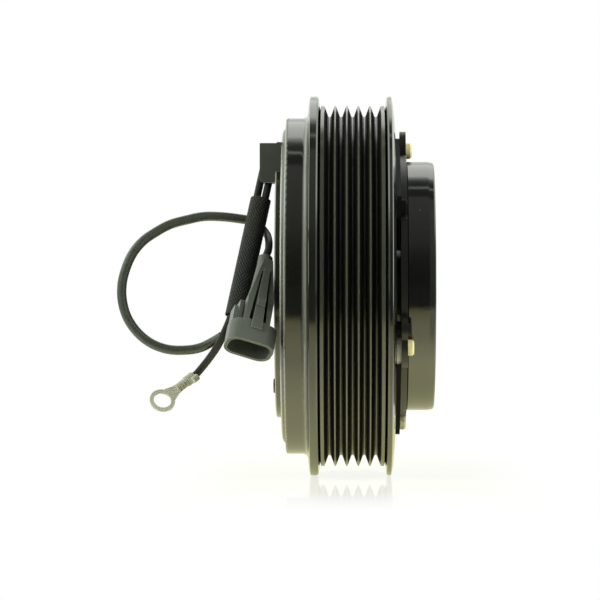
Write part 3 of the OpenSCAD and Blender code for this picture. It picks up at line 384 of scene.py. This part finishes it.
def glossEnamel(name, colour, edgeWearAndHighlight, roughness, peel, gloss, beltFace=False):
    # baked black enamel on steel: mirror images with a trace of orange peel, a little dust, paler edges
    # that are partly rubbed paint and partly painted highlight
    e = enamelSet
    material, tree, shader, place = startMaterial(name)
    smear, paint = mottled(tree, place, colour, e["smearColour"], sizeMm=e["smear"], detail=5)
    dust = addNode(tree, "ShaderNodeTexVoronoi", {"Vector": place, "Scale": perMm(e["dustSpacing"])})
    grain = addNode(tree, "ShaderNodeMapRange",
                    {"Value": dust.outputs["Distance"], "From Min": e["dustGrain"][0],
                     "From Max": e["dustGrain"][1], "To Min": 1.0, "To Max": 0.0})
    patch = addNode(tree, "ShaderNodeTexNoise",
                    {"Vector": place, "Scale": perMm(e["dustPatch"]), "Detail": 3})
    some = addNode(tree, "ShaderNodeMapRange",
                   {"Value": patch.outputs["Fac"], "From Min": e["dustLevels"][0],
                    "From Max": e["dustLevels"][1], "To Min": 0.0, "To Max": e["dustShare"]})
    dusty = addNode(tree, "ShaderNodeMath", {0: grain.outputs[0], 1: some.outputs[0]}, operation="MULTIPLY")
    paint = addNode(tree, "ShaderNodeMix", {0: dusty.outputs[0], 6: paint, 7: linear(e["dustColour"])},
                    data_type="RGBA").outputs[2]
    haze = addNode(tree, "ShaderNodeMapRange",
                   {"Value": smear, "From Min": e["hazeLevels"][0], "From Max": e["hazeLevels"][1],
                    "To Min": roughness, "To Max": roughness + e["haze"]}).outputs[0]
    if beltFace:
        paint, haze = paintBeltGlintAndShade(tree, shader, place, paint, haze)
        paint = paintHighlightRings(tree, place, paint, skirtHighlightRings)
    paint = paleEdgesWearAndHighlight(tree, paint, e["wearAndHighlight"], edgeWearAndHighlight)
    tree.links.new(paint, shader.inputs["Base Color"])
    tree.links.new(haze, shader.inputs["Roughness"])
    ripple = addNode(tree, "ShaderNodeTexNoise",
                     {"Vector": place, "Scale": perMm(e["orangePeel"]), "Detail": 2})
    bump = addNode(tree, "ShaderNodeBump",
                   {"Height": ripple.outputs["Fac"], "Strength": peel, "Distance": e["depth"] / 1000})
    tree.links.new(bump.outputs[0], shader.inputs["Normal"])
    shader.inputs["IOR"].default_value = e["ior"]
    shader.inputs["Specular IOR Level"].default_value = gloss
    return material


pulleyEnamel = glossEnamel("blackEnamelSprayed", colour="#0d0e0a", edgeWearAndHighlight="#2b2c24", roughness=0.08,
                           peel=0.2, gloss=1.0, beltFace=True)
hubEnamel = glossEnamel("blackEnamelDipped", colour="#0e0f0b", edgeWearAndHighlight="#272820", roughness=0.1,
                        peel=0.2, gloss=1.0)
# a thin coat follows the sheet's own texture, so its images are blurred
plateEnamel = glossEnamel("blackEnamelThin", colour="#10110d", edgeWearAndHighlight="#2c2d25", roughness=0.42,
                          peel=0.4, gloss=0.6)

phosphateSet = {
    "cloud": 6,
    "crystal": 0.5,          # real crystals are 0.02 mm, drawn coarser so that they show
    # paler edges: partly wear, partly painted highlight
    "edge": "#83857a",
    "wearAndHighlight": {"radius": 0.3, "low": 0.03, "high": 0.3},
    "spread": (-0.06, 0.08),
    "relief": 0.04,
    "depth": 0.02,
    "ior": 1.7,
    "gloss": 1.0,
}


def phosphateSteel(name, light, dark, roughness, rings):
    # pressed steel, phosphated and oiled: dark olive grey, a fine crystalline mottle under an oily gleam
    p = phosphateSet
    material, tree, shader, place = startMaterial(name)
    cloud = addNode(tree, "ShaderNodeTexNoise",
                    {"Vector": place, "Scale": perMm(p["cloud"]), "Detail": 6}).outputs["Fac"]
    crystal = addNode(tree, "ShaderNodeTexVoronoi",
                      {"Vector": place, "Scale": perMm(p["crystal"])}).outputs["Distance"]
    blend = addNode(tree, "ShaderNodeMath", {0: cloud, 1: crystal}, operation="MULTIPLY")
    steel = addNode(tree, "ShaderNodeMix", {0: blend.outputs[0], 6: linear(dark), 7: linear(light)},
                    data_type="RGBA").outputs[2]
    # paler edges, partly wear and partly painted highlight
    steel = paleEdgesWearAndHighlight(tree, steel, p["wearAndHighlight"], p["edge"])
    steel = paintHighlightRings(tree, place, steel, rings)
    finishSurface(tree, shader, steel, cloud, roughness, crystal, p)
    shader.inputs["IOR"].default_value = p["ior"]
    shader.inputs["Specular IOR Level"].default_value = p["gloss"]
    return material


# painted highlights as pale rings on the rear corners of the shell and of the plate's rim
coilSteel = phosphateSteel("phosphatedSteelPressed", light="#4a4b40", dark="#2a2b23", roughness=0.26,
                           rings=[{"radius": 47.6, "y": -21.5, "reach": 0.8, "colour": "#9c9e91"}])
plateSteel = phosphateSteel("phosphatedSteelSheet", light="#26271f", dark="#141511", roughness=0.16,
                            rings=[{"radius": 40.7, "y": -23.5, "reach": 0.55, "colour": "#a3a598"}])

plasticSet = {
    "flow": 5,
    "wearAndHighlight": {"radius": 0.3, "low": 0.04, "high": 0.4},
    "spread": (-0.07, 0.07),
    "relief": 0.25,
    "depth": 0.05,
}


def mouldedPlastic(name, light, dark, edge, roughness, grainMm):
    # moulded or cast plastic: even colour with slight flow clouds, a fine grain from the mould, paler edges
    # that are partly wear and partly painted highlight
    p = plasticSet
    material, tree, shader, place = startMaterial(name)
    resin = mottled(tree, place, dark, light, sizeMm=p["flow"], detail=4)[1]
    resin = paleEdgesWearAndHighlight(tree, resin, p["wearAndHighlight"], edge)
    grain = addNode(tree, "ShaderNodeTexNoise",
                    {"Vector": place, "Scale": perMm(grainMm), "Detail": 3}).outputs["Fac"]
    finishSurface(tree, shader, resin, grain, roughness, grain, p)
    return material


# a spark-eroded mould leaves a grain of 0.1 mm, drawn at 0.4 mm and more so that it shows
blockPlastic = mouldedPlastic("glassFilledNylonMoulded", light="#42453e", dark="#363832", edge="#a3a598",
                              roughness=0.42, grainMm=0.45)
connectorPlastic = mouldedPlastic("polyesterMoulded", light="#535950", dark="#424741", edge="#8d9385",
                                  roughness=0.34, grainMm=0.4)
bobbinNylon = mouldedPlastic("naturalNylonMoulded", light="#d8d2bd", dark="#c9c2ab", edge="#e0dbc8",
                             roughness=0.45, grainMm=0.5)
cageNylon = mouldedPlastic("nylonCageMoulded", light="#8a6a48", dark="#7a5b3c", edge="#98795a",
                           roughness=0.45, grainMm=0.5)
pottingResin = mouldedPlastic("epoxyPottingCast", light="#2c2b27", dark="#20201d", edge="#34332f",
                              roughness=0.25, grainMm=1.2)

vinylSet = {
    "dust": 3,
    "skin": 0.5,             # draw marks of 0.1 mm, drawn coarser so that they show
    "spread": (-0.08, 0.1),
    "relief": 0.2,
    "depth": 0.05,
    "ior": 1.6,
}


def extrudedVinyl(name, light, dark, roughness, gloss):
    # extruded vinyl: a satin skin with a faint unevenness from the die and a little handling dust
    v = vinylSet
    material, tree, shader, place = startMaterial(name)
    dust, vinyl = mottled(tree, place, dark, light, sizeMm=v["dust"], detail=5)
    skin = addNode(tree, "ShaderNodeTexNoise", {"Vector": place, "Scale": perMm(v["skin"]), "Detail": 3})
    finishSurface(tree, shader, vinyl, dust, roughness, skin.outputs["Fac"], v)
    shader.inputs["IOR"].default_value = v["ior"]
    shader.inputs["Specular IOR Level"].default_value = gloss
    return material


leadVinyl = extrudedVinyl("vinylInsulationExtruded", light="#272923", dark="#181a15",
                          roughness=0.45, gloss=0.3)
tubingVinyl = extrudedVinyl("vinylTubingExtruded", light="#3e4339", dark="#30342b",
                            roughness=0.28, gloss=0.9)

braidSet = {
    "cloud": 1.2,
    "dark": "#1b1c1b",
    "light": "#383a35",
    "roughness": (0.36, 0.52),
}


def braidFibre():
    # polyester monofilament braid: dark strands that catch the light along their run
    b = braidSet
    material, tree, shader, place = startMaterial("polyesterBraidWoven")
    cloud, fibre = mottled(tree, place, b["dark"], b["light"], sizeMm=b["cloud"], detail=4)
    tree.links.new(fibre, shader.inputs["Base Color"])
    shine = addNode(tree, "ShaderNodeMapRange",
                    {"Value": cloud, "From Min": noiseSpan[0], "From Max": noiseSpan[1],
                     "To Min": b["roughness"][0], "To Max": b["roughness"][1]})
    tree.links.new(shine.outputs[0], shader.inputs["Roughness"])
    return material


rubberSet = {
    "bloom": 2.5,
    "pores": 0.5,            # drawn coarser than they are so that they show
    "dark": "#151516",
    "light": "#242423",
    "roughness": 0.6,
    "spread": (-0.08, 0.08),
    "relief": 0.25,
    "depth": 0.06,
}


def mouldedRubber():
    # moulded nitrile rubber: matt black with a fine bloom
    r = rubberSet
    material, tree, shader, place = startMaterial("nitrileRubberMoulded")
    bloom, rubber = mottled(tree, place, r["dark"], r["light"], sizeMm=r["bloom"], detail=6)
    pores = addNode(tree, "ShaderNodeTexNoise", {"Vector": place, "Scale": perMm(r["pores"]), "Detail": 2})
    finishSurface(tree, shader, rubber, bloom, r["roughness"], pores.outputs["Fac"], r)
    return material


blackRubber = mouldedRubber()

metalSet = {
    "oxide": 4,
    "spread": (-0.08, 0.1),
    "depth": 0.04,
}


def bareMetal(name, light, dark, roughness, markMm, relief, stretch=(1, 1, 1), metallic=1.0):
    # bare or plated metal: colour clouds of handling and oxide, with crystals or fine tool marks
    material, tree, shader, place = startMaterial(name)
    metal = mottled(tree, place, dark, light, sizeMm=metalSet["oxide"], detail=5)[1]
    drawn = addNode(tree, "ShaderNodeMapping", {"Vector": place, "Scale": stretch})
    marks = addNode(tree, "ShaderNodeTexNoise",
                    {"Vector": drawn.outputs[0], "Scale": perMm(markMm), "Detail": 4}).outputs["Fac"]
    finishSurface(tree, shader, metal, marks, roughness, marks, {**metalSet, "relief": relief})
    shader.inputs["Metallic"].default_value = metallic
    return material


# tin and zinc plate have fine crystals, drawn coarser so that they show, which scatter most of the light
tinnedBrass = bareMetal("tinnedBrassStamped", light="#bcbea6", dark="#adaf97", roughness=0.5,
                        markMm=2.5, relief=0.03, metallic=0.3)
yellowZinc = bareMetal("yellowZincPlated", light="#fdf5b9", dark="#efe29c", roughness=0.42,
                       markMm=1.5, relief=0.05, metallic=0.1)
# the pin's head is burnished by its die and keeps a metal's gleam
pinSteel = bareMetal("zincPinHeaded", light="#8f9084", dark="#6c6d62", roughness=0.38,
                     markMm=0.5, relief=0.1)
# turning, grinding and winding leave marks round the axis, drawn coarser than they are so that they show
turnedIron = bareMetal("softIronTurned", light="#8b8c8a", dark="#6d6e6c", roughness=0.36,
                       markMm=0.4, relief=0.15, stretch=(1, 5, 1))
groundSteel = bareMetal("bearingSteelGround", light="#c3c5c6", dark="#a9abac", roughness=0.22,
                        markMm=0.4, relief=0.1, stretch=(1, 5, 1))
copperWire = bareMetal("enamelledCopperWound", light="#a5602f", dark="#7f4420", roughness=0.3,
                       markMm=0.5, relief=0.15, stretch=(1, 4, 1))

skinSet = {
    "cloud": 3,
    "ragged": 2.0,           # how far the clouds push the pale spot's edge about
    "fade": (0.6, 1.4),      # the skin sets in between these distances past the spot's reach
    "metallic": 0.2,         # the pale spot is mostly matt, so little of its light is mirrored
    "skinRoughness": 0.32,
    "glintRoughness": 0.55,
    "relief": 0.08,
    "depth": 0.04,
    "gloss": 0.02,
}
# places from the CAD: circle about the axis and angle on it, place along the axis, and the spot's reach
springGlintSpot = {"circle": 42.1, "angle": -26, "y": 13.9, "reach": 4.6}
rivetGlintSpot = {"circle": 42.1, "angle": -86, "y": 14.5, "reach": 8}


def darkSkinWithGlint(name, light, dark, bright, spot):
    # a thin dark skin with a soft gleam, with one spot painted pale as a highlight: blued steel on the
    # springs, painted shade on the rivets
    k = skinSet
    material, tree, shader, place = startMaterial(name)
    cloud, skin = mottled(tree, place, dark, light, sizeMm=k["cloud"], detail=5)
    turned = math.radians(spot["angle"])
    middle = Vector((math.cos(turned), 0, math.sin(turned))) * spot["circle"]
    middle.y = spot["y"]
    away = addNode(tree, "ShaderNodeVectorMath", {0: place, 1: middle / 1000}, operation="DISTANCE")
    ragged = addNode(tree, "ShaderNodeMath", {0: cloud, 1: k["ragged"] / 1000, 2: away.outputs["Value"]},
                     operation="MULTIPLY_ADD")
    glinted = addNode(tree, "ShaderNodeMapRange",
                   {"Value": ragged.outputs[0], "From Min": (spot["reach"] + k["fade"][0]) / 1000,
                    "From Max": (spot["reach"] + k["fade"][1]) / 1000,
                    "To Min": 1.0, "To Max": 0.0}).outputs[0]
    metal = addNode(tree, "ShaderNodeMix", {0: glinted, 6: skin, 7: linear(bright)}, data_type="RGBA")
    tree.links.new(metal.outputs[2], shader.inputs["Base Color"])
    mirrored = addNode(tree, "ShaderNodeMath", {0: glinted, 1: k["metallic"]}, operation="MULTIPLY")
    tree.links.new(mirrored.outputs[0], shader.inputs["Metallic"])
    shine = addNode(tree, "ShaderNodeMapRange",
                    {"Value": glinted, "To Min": k["skinRoughness"], "To Max": k["glintRoughness"]})
    tree.links.new(shine.outputs[0], shader.inputs["Roughness"])
    bump = addNode(tree, "ShaderNodeBump",
                   {"Height": cloud, "Strength": k["relief"], "Distance": k["depth"] / 1000})
    tree.links.new(bump.outputs[0], shader.inputs["Normal"])
    shader.inputs["Specular IOR Level"].default_value = k["gloss"]
    return material


# the pale spot by the near hub rivet is a painted highlight, partly bare steel
springSteel = darkSkinWithGlint("springSteelBlued", light="#1d1f22", dark="#0e0f11", bright="#f6f5ee",
                             spot=springGlintSpot)
# the rivets' dark skin is painted shade over their zinc, and the pale spot on the lowest rivet a painted
# highlight
rivetSteel = darkSkinWithGlint("zincRivetPaintedShade", light="#1e1e18", dark="#111110", bright="#d8d3b0",
                            spot=rivetGlintSpot)

finishes = {
    "coil_shell": coilSteel,
    "coil_bobbin": bobbinNylon,
    "coil_winding": copperWire,
    "coil_potting": pottingResin,
    "mounting_plate": plateSteel,
    "locating_pin": pinSteel,
    "lead_block": blockPlastic,
    "ring_terminal": tinnedBrass,
    "connector_housing": connectorPlastic,
    "connector_blade": tinnedBrass,
    "wire_seal": blackRubber,
    "bearing_inner_ring": groundSteel,
    "bearing_outer_ring": groundSteel,
    "bearing_balls": groundSteel,
    "bearing_cages": cageNylon,
    "bearing_seals": blackRubber,
    "bearing_circlip": groundSteel,
    "rotor_pulley": pulleyEnamel,
    "hub_plate": plateEnamel,
    "damper_drum": hubEnamel,
    "damper_rubber": blackRubber,
    "inner_hub": turnedIron,
    "hub_rivets": yellowZinc,
    "rubber_stops": blackRubber,
    "leaf_springs": springSteel,
    "armature_disc": turnedIron,
    "armature_rivets": rivetSteel,
}
for name, finish in finishes.items():
    slots = nodes[name].data.materials
    slots.clear()
    slots.append(finish)
groundLead.data.materials.append(leadVinyl)
feedLead.data.materials.append(leadVinyl)
loopTubing.data.materials.append(tubingVinyl)
leadSleeve.data.materials.append(braidFibre())
leadSleeve.data.materials.append(leadVinyl)
print("materials on", len(finishes), "CAD pieces")


# Studio: white sheet below and behind, white cloth at each side, dark room in front, strip light overhead

studioSet = {
    # brightness from the white sweep behind the clutch (-1) over the ceiling to the room in front (1)
    "sky": [(-1, 1), (-0.5, 1), (-0.46, 0.5), (-0.4, 0.14), (-0.3, 0.05), (-0.25, 0.05),
            (-0.236, 0.8), (-0.216, 0.8), (-0.2, 0.05), (-0.02, 0.05), (0, 0.15), (0.3, 0.14),
            (0.6, 0.11), (0.77, 0.09), (0.9, 0.04), (1, 0.02)],
    "skyTint": "#fbfff4",
    "room": 0.03,                 # brightness below the horizon
    "horizon": 0.02,
    "tent": "#eef6ea",            # white cloth to the left and right
    "tentEdge": (0.3, 0.75),      # from straight ahead (0) to square aside (1), it sets in between these
    "tentGlow": 1.4,
    "tentFront": 0.45,            # the cloth is dimmer towards the camera
    "tentDim": (0.0, 0.6),
    "tentGap": 0.25,              # and where its two halves part, square to the left and right
    "gapEdge": (0.86, 0.97),
}


def hangTent():
    s = studioSet
    world = bpy.data.worlds.new("studioTent")
    scene.world = world
    world.use_nodes = True
    tree = world.node_tree
    tree.nodes.clear()
    heading = addNode(tree, "ShaderNodeTexCoord").outputs["Generated"]
    parts = addNode(tree, "ShaderNodeSeparateXYZ", {0: heading})
    across = addNode(tree, "ShaderNodeMapRange",
                     {"Value": parts.outputs["X"], "From Min": -1.0, "From Max": 1.0})
    sky = addNode(tree, "ShaderNodeValToRGB", {0: across.outputs[0]})
    stops = sky.color_ramp.elements
    stops.remove(stops[1])
    for turned, level in s["sky"]:
        stop = stops.new((turned + 1) / 2) if turned > -1 else stops[0]
        stop.position = (turned + 1) / 2
        stop.color = tuple(part * level for part in linear(s["skyTint"])[:3]) + (1,)
    above = addNode(tree, "ShaderNodeMapRange",
                    {"Value": parts.outputs["Z"], "From Min": -s["horizon"], "From Max": s["horizon"]})
    room = (s["room"], s["room"], s["room"], 1)
    around = addNode(tree, "ShaderNodeMix", {0: above.outputs[0], 6: room, 7: sky.outputs[0]},
                     data_type="RGBA")
    aside = addNode(tree, "ShaderNodeMath", {0: parts.outputs["Y"]}, operation="ABSOLUTE").outputs[0]
    tented = addNode(tree, "ShaderNodeMapRange",
                     {"Value": aside, "From Min": s["tentEdge"][0], "From Max": s["tentEdge"][1]},
                     interpolation_type="SMOOTHSTEP")
    ahead = addNode(tree, "ShaderNodeMapRange",
                    {"Value": parts.outputs["X"], "From Min": s["tentDim"][0], "From Max": s["tentDim"][1],
                     "To Min": s["tentGlow"], "To Max": s["tentFront"]})
    gap = addNode(tree, "ShaderNodeMapRange",
                  {"Value": aside, "From Min": s["gapEdge"][0], "From Max": s["gapEdge"][1],
                   "To Min": 1.0, "To Max": s["tentGap"]}, interpolation_type="SMOOTHSTEP")
    glow = addNode(tree, "ShaderNodeMath", {0: ahead.outputs[0], 1: gap.outputs[0]}, operation="MULTIPLY")
    cloth = addNode(tree, "ShaderNodeVectorMath", {0: linear(s["tent"])[:3], 3: glow.outputs[0]},
                    operation="SCALE")
    mirrored = addNode(tree, "ShaderNodeMix",
                       {0: tented.outputs[0], 6: around.outputs[2], 7: cloth.outputs[0]}, data_type="RGBA")
    seen = addNode(tree, "ShaderNodeLightPath").outputs["Is Camera Ray"]
    shown = addNode(tree, "ShaderNodeMix", {0: seen, 6: mirrored.outputs[2], 7: (1, 1, 1, 1)},
                    data_type="RGBA")
    backdrop = addNode(tree, "ShaderNodeBackground", {"Color": shown.outputs[2], "Strength": 1.0})
    addNode(tree, "ShaderNodeOutputWorld", {"Surface": backdrop.outputs[0]})


floorSet = {
    "z": -0.0588,                 # just under the pulley's flanges
    "front": 0.2,                 # the sheet ends here, in front of the clutch
    "reach": 1.6,
    "card": "#fcf8e2",
    "roughness": 0.03,
    "tint": "#fdfbb8",            # the sheet as the clutch sees it below itself, warm with bounced light
    "white": "#fdfdf3",
    "tintBeside": (0.04, 0.09),   # to the left and right the tint gives way to white over this stretch
    "frontGlow": 0.42,            # brightness towards the camera against the middle
    "dimAhead": (0.035, 0.075),
    "edgeAhead": (0.155, 0.195),  # it goes dark over this stretch at the front edge
    "sideGlow": 0.15,             # brightness far to the left and right
    "dimBeside": (0.1, 0.42),
    "imageAhead": (0.06, 0.17),   # the clutch's shadow and mirror image fade out over this stretch
    "imageBeside": (0.03, 0.06),
    "imageShare": 0.32,
    "imageTint": "#fffff2",
}


def glazedCard():
    # glazed white card: white to the eye and in reflections, with a faint mirror image and shadow on it
    f = floorSet
    material, tree, shader, place = startMaterial("glazedCard")
    shader.inputs["Base Color"].default_value = linear(f["card"])
    shader.inputs["Roughness"].default_value = f["roughness"]
    parts = addNode(tree, "ShaderNodeSeparateXYZ", {0: place})
    ahead = parts.outputs["X"]
    beside = addNode(tree, "ShaderNodeMath", {0: parts.outputs["Y"]}, operation="ABSOLUTE").outputs[0]
    # what the clutch mirrors: the sheet dims towards its front edge and its sides
    far = addNode(tree, "ShaderNodeMapRange",
                  {"Value": beside, "From Min": f["tintBeside"][0], "From Max": f["tintBeside"][1]})
    lit = addNode(tree, "ShaderNodeMix", {0: far.outputs[0], 6: linear(f["tint"]), 7: linear(f["white"])},
                  data_type="RGBA").outputs[2]
    dims = [(ahead, f["dimAhead"], f["frontGlow"]), (beside, f["dimBeside"], f["sideGlow"]),
            (ahead, f["edgeAhead"], 0.0)]
    for way, stretch, level in dims:
        dim = addNode(tree, "ShaderNodeMapRange",
                      {"Value": way, "From Min": stretch[0], "From Max": stretch[1],
                       "To Min": 1.0, "To Max": level})
        lit = addNode(tree, "ShaderNodeVectorMath", {0: lit, 3: dim.outputs[0]},
                      operation="SCALE").outputs[0]
    # what the camera sees: white, and near the clutch a share of its image
    distance = addNode(tree, "ShaderNodeMath", {0: ahead}, operation="ABSOLUTE").outputs[0]
    fade = addNode(tree, "ShaderNodeMapRange",
                   {"Value": distance, "From Min": f["imageAhead"][0], "From Max": f["imageAhead"][1],
                    "To Min": f["imageShare"], "To Max": 0.0}, interpolation_type="SMOOTHSTEP")
    close = addNode(tree, "ShaderNodeMapRange",
                    {"Value": beside, "From Min": f["imageBeside"][0], "From Max": f["imageBeside"][1],
                     "To Min": 1.0, "To Max": 0.0}, interpolation_type="SMOOTHSTEP")
    image = addNode(tree, "ShaderNodeMath", {0: fade.outputs[0], 1: close.outputs[0]},
                    operation="MULTIPLY").outputs[0]
    shown = addNode(tree, "ShaderNodeMix", {0: image, 6: (1, 1, 1, 1), 7: linear(f["imageTint"])},
                    data_type="RGBA")
    path = addNode(tree, "ShaderNodeLightPath")
    seen = path.outputs["Is Camera Ray"]
    white = addNode(tree, "ShaderNodeMix", {0: seen, 6: lit, 7: shown.outputs[2]}, data_type="RGBA")
    glow = addNode(tree, "ShaderNodeEmission", {"Color": white.outputs[2], "Strength": 1.0})
    direct = addNode(tree, "ShaderNodeMath", {0: seen, 1: path.outputs["Is Glossy Ray"]},
                     operation="MAXIMUM")
    direct = addNode(tree, "ShaderNodeMath", {0: direct.outputs[0], 1: path.outputs["Is Transmission Ray"]},
                     operation="MAXIMUM")
    plain = addNode(tree, "ShaderNodeMath", {0: 1.0, 1: image}, operation="SUBTRACT")
    share = addNode(tree, "ShaderNodeMath", {0: direct.outputs[0], 1: plain.outputs[0]},
                    operation="MULTIPLY")
    both = addNode(tree, "ShaderNodeMixShader",
                   {0: share.outputs[0], 1: shader.outputs[0], 2: glow.outputs[0]})
    tree.links.new(both.outputs[0], tree.nodes["Material Output"].inputs["Surface"])
    return material


def layFloor():
    reach, front = floorSet["reach"], floorSet["front"]
    mesh = bpy.data.meshes.new("paperSheet")
    mesh.from_pydata([(-reach, -reach, 0), (front, -reach, 0), (front, reach, 0), (-reach, reach, 0)],
                     [], [(0, 1, 2, 3)])
    mesh.materials.append(glazedCard())
    floor = bpy.data.objects.new("paperSheet", mesh)
    floor.location = (0, 0, floorSet["z"])
    scene.collection.objects.link(floor)


lampSet = {
    "left": {"place": (0.6, -0.9, 0.5), "size": 0.8, "power": 18.0, "mirrored": False},
    "right": {"place": (0.6, 0.9, 0.5), "size": 0.8, "power": 10.0, "mirrored": False},
    "back": {"place": (-0.68, 0, 0.68), "size": 0.55, "power": 0.5, "mirrored": True},
}


def softBox(name, box):
    lamp = bpy.data.lights.new(name, "AREA")
    lamp.shape = "SQUARE"
    lamp.size = box["size"]
    lamp.energy = box["power"]
    holder = bpy.data.objects.new(name, lamp)
    holder.location = box["place"]
    holder.rotation_euler = (-Vector(box["place"])).to_track_quat("-Z", "Y").to_euler()
    holder.visible_glossy = box["mirrored"]
    scene.collection.objects.link(holder)


hangTent()
layFloor()
# the left and right boxes light the colours and leave no image of themselves in the paint
softBox("leftBox", lampSet["left"])
softBox("rightBox", lampSet["right"])
softBox("backBox", lampSet["back"])
scene.view_settings.view_transform = "Standard"
print("studio lit")

bpy.context.view_layer.update()
